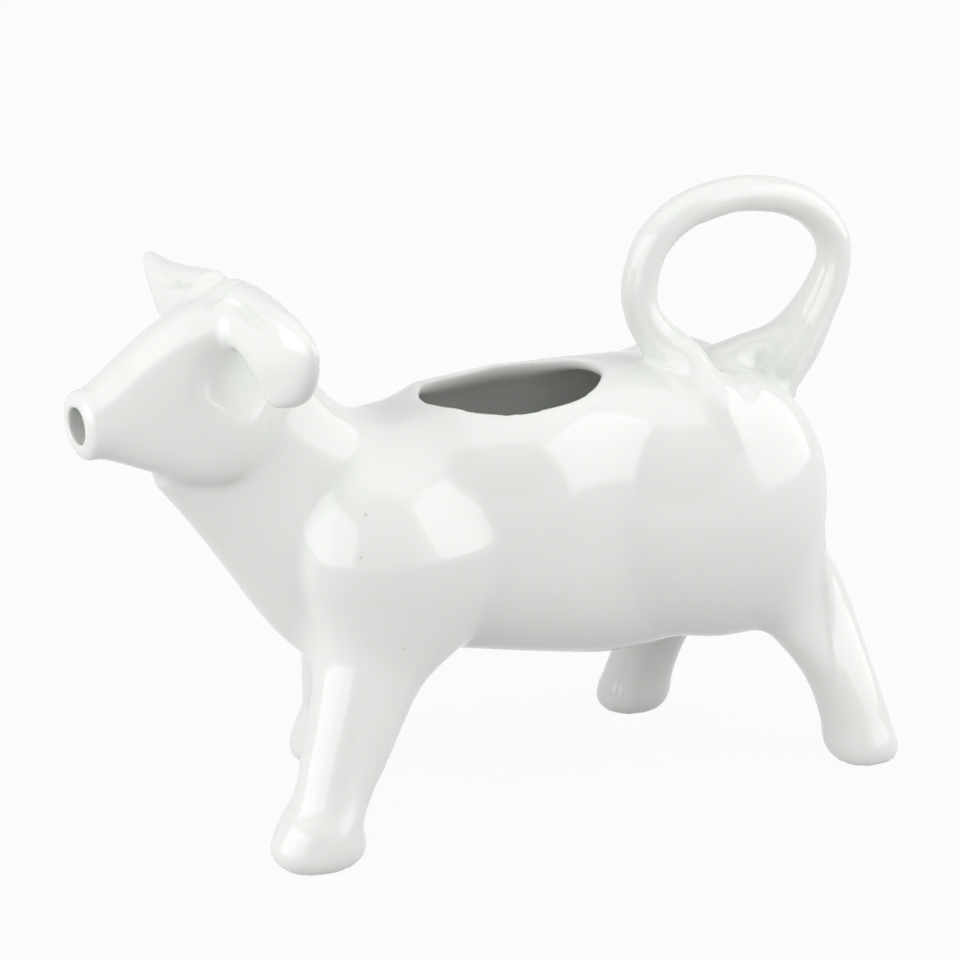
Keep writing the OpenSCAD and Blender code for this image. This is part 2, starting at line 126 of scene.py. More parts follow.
class CreamerSizes(bpy.types.PropertyGroup):
    """Sizes of the figure"""

    body_length: length("Body length", "Length of the barrel, from the brisket to the rump", 104)
    body_width: length("Body width", "Width across the barrel", 52)
    back_height: length("Back height", "Height of the back over the table", 87)
    belly_height: length("Belly height", "Height of the belly over the table", 26.5)
    shoulder_swell: length("Shoulder swell", "How far the shoulder stands out from the barrel", 1.5)
    haunch_swell: length("Haunch swell", "How far the haunch stands out from the barrel", 2.5)
    wall: length("Wall", "Thickness of the cast wall", 3)
    hole_length: length("Hole length", "Length of the oval hole in the back", 38)
    hole_width: length("Hole width", "Width of the oval hole in the back", 27)
    hole_place: length("Hole place", "Distance of the hole's middle from the brisket", 41.2)
    poll_reach: length("Poll reach", "Forward reach of the poll from the brisket", 18)
    poll_height: length("Poll height", "Height of the poll over the table", 115.5)
    neck_width: length("Neck width", "Width of the neck behind the jaw", 19)
    head_length: length("Head length", "Length of the head, from the poll to the lip", 34)
    head_depth: length("Head depth", "Depth of the head at the jaw", 36)
    head_width: length("Head width", "Width of the head at the cheeks", 27)
    nose_fall: length("Nose fall", "Fall of the nose line from the poll to the lip", 19)
    muzzle_width: length("Muzzle width", "Width of the muzzle", 14)
    muzzle_depth: length("Muzzle depth", "Depth of the muzzle", 12)
    head_turn: angle("Head turn", "Turn of the head to its left", 5)
    head_tilt: angle("Head tilt", "Tilt of the head to its right", 3)
    spout_width: length("Spout width", "Width of the spout hole", 6.6)
    spout_height: length("Spout height", "Height of the spout hole", 6)
    ear_span: length("Ear span", "Span over both ears", 71)
    ear_rise: length("Ear rise", "Height of the top of an ear over the poll", 1)
    ear_fall: length("Ear fall", "Fall of an ear from its top to its tip", 21)
    ear_width: length("Ear width", "Width of an ear across its leaf", 14.5)
    ear_thickness: length("Ear thickness", "Thickness of an ear", 6)
    loop_length: length("Loop length", "Length of the tail loop, outside", 53)
    loop_height: length("Loop height", "Height of the top of the loop over the table", 122)
    tail_thickness: length("Tail thickness", "Thickness of the tail at the top of the loop", 7.2)
    tail_width: length("Tail width", "Width of the tail at the top of the loop", 8)
    root_sweep: length("Root sweep", "Sweep of the front root over the left hip", 15)
    track: length("Track", "Distance across the hooves, middle to middle", 44)
    front_hoof_length: length("Front hoof length", "Length of a front hoof", 19)
    rear_hoof_length: length("Rear hoof length", "Length of a rear hoof", 15)
    hoof_width: length("Hoof width", "Width of a hoof", 15)
    leg_thickness: length("Leg thickness", "Thickness of a leg above its hoof", 16)
    front_left_step: length("Front left step", "Step of the left front hoof, behind the shoulder", -21)
    front_right_step: length("Front right step", "Step of the right front hoof, behind the shoulder", -1.8)
    rear_left_step: length("Rear left step", "Step of the left rear hoof, behind the hip", 15.4)
    rear_right_step: length("Rear right step", "Step of the right rear hoof, behind the hip", -17.2)
    rear_sway: length("Rear sway", "Shift of both rear hooves to the left", 1.8)
    shoulder_skew: length("Shoulder skew", "How far the right shoulder lies behind the left one", 3)
    udder_length: length("Udder length", "Length of the udder", 34)
    udder_width: length("Udder width", "Width of the udder", 24)
    udder_drop: length("Udder drop", "How far the udder hangs below the belly", 0.5)


class CreamerFinish(bpy.types.PropertyGroup):
    """Colours of the glaze and of the bare clay"""

    glaze: tint("Glaze", "Colour of the glazed porcelain", (0.80, 0.82, 0.79))
    # Darker glaze in creases and hollows: partly glaze lying thick there, partly painted shade
    pooled_glaze_and_crease_shade: tint("Pooled glaze and painted crease shade", "Colour where the glaze lies thick in a crease", (0.70, 0.735, 0.69))
    bare: tint("Bare clay", "Colour of the unglazed soles", (0.72, 0.69, 0.63))
    roughness: FloatProperty(name="Roughness", description="Roughness of the glaze", default=0.10, min=0,
                             max=1, subtype="FACTOR")


class CreamerStage(bpy.types.PropertyGroup):
    """Light and view of the picture"""

    floor: tint("Floor", "Colour of the floor", (0.48, 0.48, 0.48))
    sky: FloatProperty(name="Sky", description="Level of the light from all round", default=0.22, min=0)
    top: wattage("Top", "Power of the panel overhead", 7)
    left: wattage("Left", "Power of the panel on the left", 21)
    right: wattage("Right", "Power of the panel on the right", 14)
    gap: angle("Gap", "Half angle of the dim gap in the light round the camera", 36)
    azimuth: angle("Azimuth", "Direction of the camera round the figure", -25)
    elevation: angle("Elevation", "Height of the camera over the horizon", 21)
    distance: length("Distance", "Distance of the camera", 800)
    field: length("Field", "Width of the picture at the figure", 193.2)


def sizes_in_mm():
    """The settable sizes in millimetres, with the places that the castings share."""
    group = bpy.context.scene.creamer_sizes
    s = SimpleNamespace()
    for name in CreamerSizes.__annotations__:
        value = getattr(group, name)
        setattr(s, name, value if name in ("head_turn", "head_tilt") else value * 1000)
    s.hip_share = 0.93
    s.brisket_x = (s.poll_reach + s.head_length - s.hip_share * s.body_length - s.rear_left_step
                   - s.rear_hoof_length / 2) / 2
    s.along = lambda share: s.brisket_x + share * s.body_length
    s.body_mid = (s.back_height + s.belly_height) / 2
    s.body_half = (s.back_height - s.belly_height) / 2
    s.poll_x = s.brisket_x - s.poll_reach
    s.lip_x = s.poll_x - s.head_length
    return s


# Curves and distances


def curve_through(rows, count):
    """A smooth curve through the rows, taken at count + 1 even places."""
    rows = np.asarray(rows, float)
    last = len(rows) - 1
    u = np.linspace(0, last, count + 1)
    i = np.minimum(u.astype(int), last - 1)
    t = (u - i)[:, None]
    a, b, c, d = rows[np.maximum(i - 1, 0)], rows[i], rows[i + 1], rows[np.minimum(i + 2, last)]
    return b + t / 2 * ((c - a) + t * ((2 * a - 5 * b + 4 * c - d) + t * (3 * (b - c) + d - a)))


def bow(points, t):
    """A cubic bow between four points, at the places t."""
    p = np.asarray(points, float)
    t = np.asarray(t)[:, None]
    return (1 - t) ** 3 * p[0] + 3 * t * (1 - t) ** 2 * p[1] + 3 * t * t * (1 - t) * p[2] + t ** 3 * p[3]


def soft_min(a, b, width):
    """The lower of two fields, with a fillet of about that width where they meet."""
    h = np.maximum(width - np.abs(a - b), 0) / width
    return np.minimum(a, b) - h * h * width / 4


def soft_max(a, b, width):
    """The higher of two fields, with a rounded edge of about that width where they meet."""
    return -soft_min(-a, -b, width)


def place_in_fan(p, q, heads, feet):
    """Where points (p, q) of a plane lie in a fan of lines: place along it, and the way past its ends."""
    way = (heads + feet)[-1] / 2 - (heads + feet)[0] / 2
    first = heads[0] - feet[0]
    turn = -1.0 if first[0] * way[1] - first[1] * way[0] < 0 else 1.0
    past = []
    for head, foot in zip(heads, feet):
        line = (head - foot) / np.linalg.norm(head - foot)
        past.append(turn * (line[0] * (q - foot[1]) - line[1] * (p - foot[0])))
    place = np.zeros(np.broadcast(p, q).shape)
    found = past[0] < 0
    for k in range(len(past) - 1):
        here = ~found & (past[k] >= 0) & (past[k + 1] < 0)
        place = np.where(here, k + past[k] / np.where(here, past[k] - past[k + 1], 1), place)
        found |= here
    place = np.where(found, place, len(past) - 1)
    return place, -past[0], past[-1]


def lookup(place, values):
    """Values between the stations of a curve."""
    return np.interp(place, np.arange(len(values)), values)


def rise_in_fan(p, q, place, heads, feet):
    """How far points lie up their line of a fan, from its middle, and half of the line."""
    mid, way = (heads + feet) / 2, (heads - feet) / 2
    half = np.linalg.norm(way, axis=1)
    up = ((p - lookup(place, mid[:, 0])) * lookup(place, way[:, 0] / half)
          + (q - lookup(place, mid[:, 1])) * lookup(place, way[:, 1] / half))
    return up, lookup(place, half)


def oval(across, along, half_across, half_along, power=2.0):
    """Distance from a rounded section, measured from its middle."""
    reach = np.sqrt(across ** 2 + along ** 2) + 1e-6
    share = (np.abs(across / half_across) ** power + np.abs(along / half_along) ** power) ** (1 / power)
    return reach - reach / (share + 1e-9)


def egg(x, y, z, middle, radii):
    """Distance from an egg with radii to the front, to the back, to both sides, up and down."""
    px, py, pz = x - middle[0], y - middle[1], z - middle[2]
    front, back, ry, up, down = radii
    rx, rz = np.where(px < 0, front, back), np.where(pz > 0, up, down)
    near = np.sqrt((px / rx) ** 2 + (py / ry) ** 2 + (pz / rz) ** 2) + 1e-6
    steep = np.sqrt((px / rx ** 2) ** 2 + (py / ry ** 2) ** 2 + (pz / rz ** 2) ** 2) + 1e-6
    return near * (near - 1) / steep


class Clay:
    """Porcelain on a grid, as distances in millimetres: below 0 is inside."""

    def __init__(self, low, high, step):
        self.step = step
        self.low = np.array(low, float)
        self.axes = [np.arange(a, b + step, step) for a, b in zip(low, high)]
        shape = tuple(len(axis) for axis in self.axes)
        self.skin = np.full(shape, FAR, np.float32)
        self.claim = np.full(shape, FAR * 2, np.float32)
        self.owner = np.zeros(shape, np.int8)

    def window(self, low, high):
        """A part of the grid, with its coordinates."""
        cut = tuple(slice(max(int(np.searchsorted(axis, a)) - 1, 0), int(np.searchsorted(axis, b)) + 1)
                    for axis, a, b in zip(self.axes, low, high))
        x, y, z = (axis[c] for axis, c in zip(self.axes, cut))
        return cut, x[:, None, None], y[None, :, None], z[None, None, :]

    def even(self, field):
        """The field with a slope of about 1 everywhere, so that fillets have the same width all round."""
        slope = np.sqrt(sum(g * g for g in np.gradient(field, self.step)))
        return (field / np.maximum(slope, 0.35)).astype(np.float32)

    def lute(self, cut, field, owner, fillet):
        """Joins a casting to the figure with a fillet."""
        self.skin[cut] = soft_min(self.skin[cut], field, fillet)
        first = owner if np.ndim(owner) == 0 else owner[owner > 0].min()
        rank = CASTINGS[int(first)][1]
        claim = np.where(field < 0, -FAR + 5 * rank, field)
        nearer = claim < self.claim[cut]
        self.claim[cut] = np.where(nearer, claim, self.claim[cut])
        self.owner[cut] = np.where(nearer, owner, self.owner[cut])


# The castings


def neck_and_barrel(s):
    """Stations of the barrel from the rump to the withers and of the neck to the poll, as lines from the
    belly to the back in the XZ plane, with half widths, flatness and the number of the neck joint."""
    withers, withers_half = (0.24, 0.98, 0.78), 0.41 * s.body_width
    flatness, easing, closing = 2.6, 0.6, 0.65
    rows = curve_through([
        (1.000, 0.11, 0.16, 0.06), (0.990, 0.40, 0.49, 0.28), (0.950, 0.65, 0.70, 0.39),
        (0.850, 0.87, 0.85, 0.46), (0.700, 0.96, 0.98, 0.445), (0.560, 1.00, 1.01, 0.42),
        (0.410, 1.02, 0.90, 0.465), (*withers, withers_half / s.body_width)], BARREL_STEPS)
    x = s.along(rows[:, 0])
    heads = np.stack([x, s.body_mid + rows[:, 1] * s.body_half], 1)
    feet = np.stack([x, s.body_mid - rows[:, 2] * s.body_half], 1)
    halves = rows[:, 3] * s.body_width
    power = np.full(len(rows), flatness)
    t = np.linspace(0, 1, NECK_STEPS + 1)[1:]
    nape = [(s.along(withers[0]), s.body_mid + withers[1] * s.body_half),
            (s.brisket_x + 12, s.back_height - 6), (s.brisket_x - 1, s.back_height - 5.8),
            (s.poll_x + 10, s.poll_height - 6)]
    throat = [(s.along(withers[0]), s.body_mid - withers[2] * s.body_half),
              (s.brisket_x - 10, s.belly_height - 4), (s.brisket_x - 9.5, s.belly_height + 18),
              (s.poll_x - 16.5, s.poll_height - s.head_depth - 4)]
    neck_halves = withers_half + (s.neck_width / 2 - withers_half) * (3 - 2 * t) * t * t
    plug = np.array([s.poll_x - 20, s.poll_height - 24])
    close = 1 - np.linspace(0, closing, PLUG_STEPS + 1)[1:, None]
    nape_line, throat_line = bow(nape, t), bow(throat, t)
    heads = np.concatenate([heads, nape_line, plug + close * (nape_line[-1] - plug)])
    feet = np.concatenate([feet, throat_line, plug + close * (throat_line[-1] - plug)])
    halves = np.concatenate([halves, neck_halves, close[:, 0] * neck_halves[-1]])
    power = np.concatenate([power, flatness - easing * t, np.full(PLUG_STEPS, flatness - easing)])
    return heads, feet, halves, power, BARREL_STEPS + NECK_JOINT


def core_field(s, x, y, z):
    """Distance from barrel and neck, and whether a place lies past the neck joint."""
    heads, feet, halves, power, joint = neck_and_barrel(s)
    p, q = x[:, 0, :], z[0, 0, :][None, :]
    place, before, after = place_in_fan(p, q, heads, feet)
    up, rise = rise_in_fan(p, q, place, heads, feet)
    section = (up, lookup(place, halves), rise, lookup(place, power))
    field = oval(y, *(value[:, None, :] for value in section))
    field = np.maximum(field, np.maximum(before, after)[:, None, :])
    return field, np.broadcast_to((place > joint)[:, None, :], field.shape)


def head_place(s, x, y, z):
    """Coordinates of the head before its turn and tilt."""
    pivot = (s.poll_x, 0.0, s.poll_height - s.head_depth / 2)
    px, py, pz = x - pivot[0], y - pivot[1], z - pivot[2]
    c, n = math.cos(s.head_turn), math.sin(s.head_turn)
    px, py = px * c + py * n, -px * n + py * c
    c, n = math.cos(-s.head_tilt), math.sin(-s.head_tilt)
    py, pz = py * c + pz * n, -py * n + pz * c
    return np.broadcast_arrays(px + pivot[0], py + pivot[1], pz + pivot[2])


def head_stations(s):
    """Stations of the head from the back of the skull to the lip: reach, top, bottom, half width, how much
    the head narrows to its top, and flatness of the cheeks and of the jaw."""
    skull_z = s.poll_height - s.head_depth
    nose_z = s.poll_height - s.nose_fall
    chin_z = nose_z - s.muzzle_depth
    reach = lambda share: s.poll_x - share * s.head_length
    w, m = s.head_width, s.muzzle_width
    return curve_through([
        (reach(-0.26), s.poll_height - 6, skull_z + 10, w * 0.33, 0, 2.0, 2.0),
        (reach(-0.06), s.poll_height - 0.6, skull_z + 1, w * 0.46, 0.10, 2.3, 2.4),
        (reach(0.14), s.poll_height - 3.0, skull_z - 3.0, w * 0.49, 0.26, 2.6, 3.4),
        (reach(0.40), s.poll_height - 6.2, skull_z - 1.8, w * 0.41, 0.32, 2.8, 3.6),
        (reach(0.64), s.poll_height - 11.2, skull_z + 2.0, w * 0.33, 0.32, 2.8, 3.4),
        (reach(0.86), nose_z + 2.8, chin_z + 0.1, m * 0.53, 0.22, 2.4, 2.4),
        (reach(0.96), nose_z + 1.8, chin_z + 0.4, m * 0.50, 0.06, 2.3, 2.1),
        (reach(1.00), nose_z + 1.0, chin_z + 1.7, m * 0.42, 0, 2.1, 2.1)], HEAD_STEPS)


def temples_field(s, x, y, z):
    """Distance from the hollows under the ears, in the head's coordinates."""
    return egg(x, np.abs(y), z, (s.poll_x - 5, 15.5, s.poll_height - 15), (9, 7, 5.2, 8, 8))


def head_field(s, x, y, z):
    """Distance from the head, in its own coordinates: cheeks that lean in under a flat forehead with a ridge
    on each side."""
    rows = head_stations(s)[::-1]
    top, bottom, half, taper, over, under = (np.interp(x, rows[:, 0], rows[:, k]) for k in range(1, 7))
    middle = bottom + 0.55 * (top - bottom)
    up = z - middle
    rise = np.where(up > 0, top + 8 * taper - middle, middle - bottom)
    lean = 1 - taper * np.clip(up / rise, 0, 1.2)
    cheeks = oval(y / lean, up, half, rise, np.where(up > 0, over, under))
    forehead = 0.9 * (z - top + 0.5 * (np.sqrt(y * y + 9) - 3))
    field = soft_max(cheeks, forehead, 0.8)
    field = soft_max(field, -temples_field(s, x, y, z), 4.0)
    return soft_max(field, np.maximum(rows[0, 0] - x, x - rows[-1, 0]), 2.0)


def passage_field(s, x, y, z):
    """Distance from the way through the head to the spout, in the head's coordinates."""
    rows = head_stations(s)[PASSAGE_START:][::-1]
    top, bottom, half = (np.interp(x, rows[:, 0], rows[:, k]) for k in range(1, 4))
    rise = np.maximum((top - bottom) / 2 - s.wall, s.spout_height / 2 - 0.4)
    field = oval(y, z - (top + bottom) / 2, np.maximum(half - s.wall, s.spout_width / 2 - 0.4), rise)
    field = soft_max(field, s.wall - temples_field(s, x, y, z), 2.0)
    return np.maximum(field, x - rows[-1, 0])


def ear_rows(s, side):
    """An ear from its root to its tip, side and height from its top: its upper and outer edge, its lower and
    inner edge, its share of the thickness, and how far it is swept back. The rows are those of an ear of the
    default sizes, and the right ear is pinched to a sharper corner."""
    span, width, fall = s.ear_span / 71, s.ear_width / 14.5, s.ear_fall / 21
    rows = np.array([
        (5.5, -0.4, 4.0, -9.0, 1.00, 0), (13, -0.4, 8.0, -10.0, 1.00, 0), (20.6, -1.4, 12.0, -11.6, 0.96, 0),
        (27.6, -3.0, 15.0, -13.2, 0.90, 0.2), (32.8, -5.4, 16.8, -14.8, 0.84, 0.4),
        (34.6, -8.4, 17.8, -16.2, 0.80, 0.7), (33.0, -13.4, 18.8, -18.0, 0.74, 1.2),
        (29.2, -18.0, 19.8, -20.0, 0.66, 1.6), (24.8, -21.0, 21.6, -21.4, 0.44, 1.7)])
    if side > 0:
        rows[:, :2] += [(0, -0.4), (0, -1.4), (0.4, -1.6), (1.8, -0.8), (3.4, 1.6), (-2.2, 0.8), (-5.4, 0.4),
                        (-4.2, 0), (0, 0)]
    rows = curve_through(rows, EAR_STEPS)
    edge = np.stack([rows[:, 0] * span, s.poll_height + s.ear_rise + rows[:, 1] * fall], 1)
    inner = np.stack([rows[:, 2] * span, s.poll_height + s.ear_rise + rows[:, 3] * fall], 1)
    inner = edge + (inner - edge) * width
    return edge, inner, rows[:, 4] * s.ear_thickness / 2, rows[:, 5]


def ear_field(s, x, y, z, side):
    """Distance from an ear, in the head's coordinates: a thick leaf with a fold near its root."""
    fold_step, fold_reach, fold_height, fold_width, fold_depth = 10, 6.0, 0.42, 0.9, 2.2
    edge, inner, thickness, swept = ear_rows(s, side)
    p, q = side * y, z
    place, before, after = place_in_fan(p, q, edge, inner)
    up, half = rise_in_fan(p, q, place, edge, inner)
    front = x - (s.poll_x - 0.5) - lookup(place, swept) + 1.8 * (1 - up / half)
    field = oval(front, up, lookup(place, thickness), half, 2.6)
    field = soft_max(field, np.maximum(before, after), 1.5)
    along, across = (place - fold_step) / fold_reach, (up - fold_height * half) / fold_width
    fold = np.exp(-along ** 4) * np.exp(-across ** 2)
    return np.where(front < 0, field + fold_depth * fold, field)


def tail_rows(s):
    """The tail as three strands, front, rear and web: place, side step, half thickness and half width."""
    half, wide = s.tail_thickness / 2, s.tail_width / 2
    loop_x = s.along(0.892)
    loop_half = (s.loop_length - s.tail_thickness) / 2
    loop_rise = s.loop_height - half - s.back_height
    # Shares of the loop's half length and rise, side step, and what is added to thickness and width
    top = [(-0.53, 0.94, 0, 0, 0), (-0.08, 1.00, 0, 0, 0), (0.34, 0.96, 0, 0, 0)]
    front = [
        (-0.50, -0.40, -s.root_sweep * 1.10, -1.8, 1.8), (-0.59, -0.18, -s.root_sweep * 0.92, -0.8, 1.4),
        (-0.70, 0.01, -s.root_sweep * 0.55, 0.4, 0.8), (-0.87, 0.14, -s.root_sweep * 0.18, 0.5, 0.6),
        (-0.98, 0.31, -0.5, 0, 0.2), (-0.99, 0.51, 0, 0, 0), (-0.86, 0.76, 0, 0, 0), *top]
    rear = [
        *top, (0.71, 0.83, 0, 0, 0), (0.94, 0.61, 0, 0, 0), (0.94, 0.37, 0, -0.3, 0.6),
        (0.77, 0.11, 0, 0.2, 1.4), (0.58, -0.10, 0, 1.2, 2.4), (0.22, -0.40, 0, 2, 3)]
    web = [
        (0.92, 0.31, 1.0, -1.2, -0.6), (0.78, 0.13, 2.5, -1.2, -0.6), (0.52, -0.05, 3.5, -0.8, 0),
        (0.12, -0.14, 3.5, 0, 0.6), (-0.30, -0.21, 2, 0, 0.6), (-0.62, -0.36, 0.8, -0.4, 0.4)]
    strands = []
    for rows in (front, rear, web):
        line = curve_through(np.array(rows) + (0, 0, 0, half, wide), STRAND_STEPS * (len(rows) - 1))
        line[:, 0] = loop_x + line[:, 0] * loop_half
        line[:, 1] = s.back_height + line[:, 1] * loop_rise
        strands.append(line)
    return strands


def strand_field(line, x, y, z):
    """Distance from a bent strand of oval section."""
    p, q = x[:, 0, :], z[0, 0, :][None, :]
    best = np.full(np.broadcast(p, q).shape, FAR)
    place = np.zeros_like(best)
    for k in range(len(line) - 1):
        a, b = line[k, :2], line[k + 1, :2]
        way = b - a
        t = np.clip(((p - a[0]) * way[0] + (q - a[1]) * way[1]) / (way @ way), 0, 1)
        gap = np.hypot(p - a[0] - t * way[0], q - a[1] - t * way[1])
        nearer = gap < best
        best = np.where(nearer, gap, best)
        place = np.where(nearer, k + t, place)
    side, half, wide = (lookup(place, line[:, k])[:, None, :] for k in (2, 3, 4))
    return oval(y - side, best[:, None, :] + 1e-6, wide, half)


def leg_rows(s, front):
    """A leg from its sole up: height, share of the way from hoof to joint, half length and half width."""
    half, hoof = s.leg_thickness / 2, s.hoof_width / 2
    joint_z = s.body_mid - 5
    if front:
        toe = s.front_hoof_length / 2
        rows = [
            (0, 0, toe - 2, hoof - 1.2), (1.6, 0, toe - 0.4, hoof - 0.2), (4, 0, toe, hoof),
            (8, 0.04, toe - 1, hoof - 0.3), (13, 0.20, half - 0.2, half - 1.2),
            (19, 0.36, half + 0.8, half - 1), (s.belly_height + 3, 0.60, half + 2.4, half),
            (s.belly_height + 14, 0.86, half + 5, half + 1.5), (joint_z, 1, half + 5, half + 1)]
    else:
        toe = s.rear_hoof_length / 2
        rows = [
            (0, 0, toe - 1.2, hoof - 1.2), (1.6, 0.02, toe - 0.2, hoof - 0.3), (4, 0.05, toe, hoof),
            (8, 0.10, toe - 0.4, hoof - 0.5), (15, 0.22, half - 0.8, half - 1.2), (21, 0.37, half, half - 1),
            (s.belly_height + 4, 0.66, half + 2.4, half), (s.belly_height + 14, 0.90, half + 2.8, half + 1),
            (joint_z, 1, half - 3, half - 1)]
    return curve_through(rows, LEG_STEPS)


def leg_joint(s, front, side):
    """Place of a leg's joint along the body."""
    if front:
        return s.brisket_x + 10 + (s.shoulder_skew if side > 0 else 0)
    return s.along(s.hip_share)


def leg_field(s, x, y, z, front, step, side, sway):
    """Distance from a leg."""
    lean_in = 11
    rows = leg_rows(s, front)
    joint_x = leg_joint(s, front, side)
    share, half_length, half_width = (np.interp(z, rows[:, 0], rows[:, k]) for k in (1, 2, 3))
    mid_x = joint_x + step * (1 - share)
    mid_y = side * (s.track / 2 - lean_in * share) - sway * (1 - share)
    field = oval(y - mid_y, x - mid_x, half_width, half_length, 2.3)
    return np.maximum(field, np.maximum(-z, z - rows[-1, 0]))


def model_figure(s, step):
    """The whole figure in clay, luted and hollowed."""
    clay = Clay((s.lip_x - 5, -s.ear_span / 2 - 4, -3.5),
                (s.along(1) + 23, s.ear_span / 2 + 4, s.loop_height + 3.5), step)

    cut, x, y, z = clay.window((s.lip_x, -34, 12), (s.along(1) + 8, 34, s.poll_height + 4))
    field, past_joint = core_field(s, x, y, z)
    core = clay.even(field)
    core_cut = cut
    clay.lute(cut, core, np.where(past_joint, HEAD, BODY), CORE_FILLET)
    hollow = core + s.wall
    in_head = np.zeros(clay.skin.shape, bool)
    in_head[cut] = past_joint

    # Swells of the shoulders and haunches: middle, radii, how much they lean in to the top, and fillet
    swells = (
        ((s.along(0.125), s.body_width / 2 - 14.5 + s.shoulder_swell, s.body_mid + 4),
         (22, 21, 12.4, 21, 26), 0.30, 2.2),
        ((s.along(0.815), s.body_width / 2 - 15 + s.haunch_swell, s.body_mid + 1),
         (32, 20.7, 14.6, 27, 29), 0.04, 2.0))
    for side in (-1, 1):
        for middle, radii, lean, fillet in swells:
            front, back, wide, up, down = radii
            low = (middle[0] - front - 10, side * middle[1] - wide - 14, middle[2] - down - 10)
            high = (middle[0] + back + 10, side * middle[1] + wide + 14, middle[2] + up + 10)
            cut, x, y, z = clay.window(low, high)
            field = egg(x, side * y + lean * np.maximum(z - middle[2], 0), z, middle, radii)
            clay.lute(cut, clay.even(field), np.where(in_head[cut], HEAD, BODY), fillet)

    cut, x, y, z = clay.window((s.lip_x - 4, -24, 66), (s.poll_x + 20, 24, s.poll_height + 6))
    hx, hy, hz = head_place(s, x, y, z)
    clay.lute(cut, clay.even(head_field(s, hx, hy, hz)), HEAD, HEAD_FILLET)
    passage_cut, passage = cut, clay.even(passage_field(s, hx, hy, hz))

    for side, owner in ((-1, LEFT_EAR), (1, RIGHT_EAR)):
        low = (s.poll_x - 14, min(side * 2, side * 40), s.poll_height - 26)
        high = (s.poll_x + 14, max(side * 2, side * 40), s.poll_height + 8)
        cut, x, y, z = clay.window(low, high)
        hx, hy, hz = head_place(s, x, y, z)
        clay.lute(cut, clay.even(ear_field(s, hx, hy, hz, side)), owner, EAR_FILLET)

    cut, x, y, z = clay.window((s.along(0.6), -28, 62), (s.along(1) + 24, 22, s.loop_height + 6))
    front, rear, web = (clay.even(strand_field(line, x, y, z)) for line in tail_rows(s))
    clay.lute(cut, soft_min(np.minimum(front, rear), web, WEB_FILLET), TAIL, TAIL_FILLET)

    legs = ((FRONT_LEFT, True, s.front_left_step, -1), (FRONT_RIGHT, True, s.front_right_step, 1),
            (REAR_LEFT, False, s.rear_left_step, -1), (REAR_RIGHT, False, s.rear_right_step, 1))
    for owner, front, leg_step, side in legs:
        joint_x = leg_joint(s, front, side)
        low = (joint_x + min(leg_step, 0) - 26, min(side * 2, side * 36), -4)
        high = (joint_x + max(leg_step, 0) + 26, max(side * 2, side * 36), s.body_mid + 4)
        cut, x, y, z = clay.window(low, high)
        field = leg_field(s, x, y, z, front, leg_step, side, 0 if front else s.rear_sway)
        clay.lute(cut, clay.even(field), owner, LEG_FILLET)

    middle = (s.along(0.86), 0.0, s.belly_height + 4)
    half, wide, deep = s.udder_length / 2, s.udder_width / 2, s.udder_drop + 4
    cut, x, y, z = clay.window((middle[0] - half - 8, -wide - 8, middle[2] - deep - 8),
                               (middle[0] + half + 8, wide + 8, middle[2] + deep + 8))
    field = egg(x, y, z, middle, (half, half, wide, deep, deep)).astype(np.float32)
    clay.lute(cut, field, UDDER, UDDER_FILLET)

    # The hollow: barrel and neck, the way through the head, and the filling hole
    space = np.full(clay.skin.shape, FAR, np.float32)
    space[core_cut] = hollow
    space[passage_cut] = soft_min(space[passage_cut], passage, PASSAGE_FILLET)
    cut, x, y, z = clay.window((s.brisket_x, -30, s.body_mid), (s.along(0.8), 30, s.back_height + 8))
    hole = oval(y, x - s.brisket_x - s.hole_place, s.hole_width / 2, s.hole_length / 2)
    hole = clay.even(np.broadcast_to(hole, space[cut].shape).copy())
    space[cut] = soft_min(space[cut], hole, HOLE_FILLET)
    clay.skin = soft_max(clay.skin, -space, RIM)
    return clay


# The skin and its pieces


def between(field, places):
    """Values of a grid field at places given in grid steps."""
    i = np.clip(np.floor(places).astype(int), 0, np.array(field.shape[:3]) - 2)
    t = (places - i).astype(np.float32)
    total = 0.0
    for corner in range(8):
        step = np.array([corner & 1, corner >> 1 & 1, corner >> 2 & 1])
        weight = np.prod(np.where(step, t, 1 - t), axis=1)
        j = i + step
        total = total + weight * field[j[:, 0], j[:, 1], j[:, 2]]
    return total


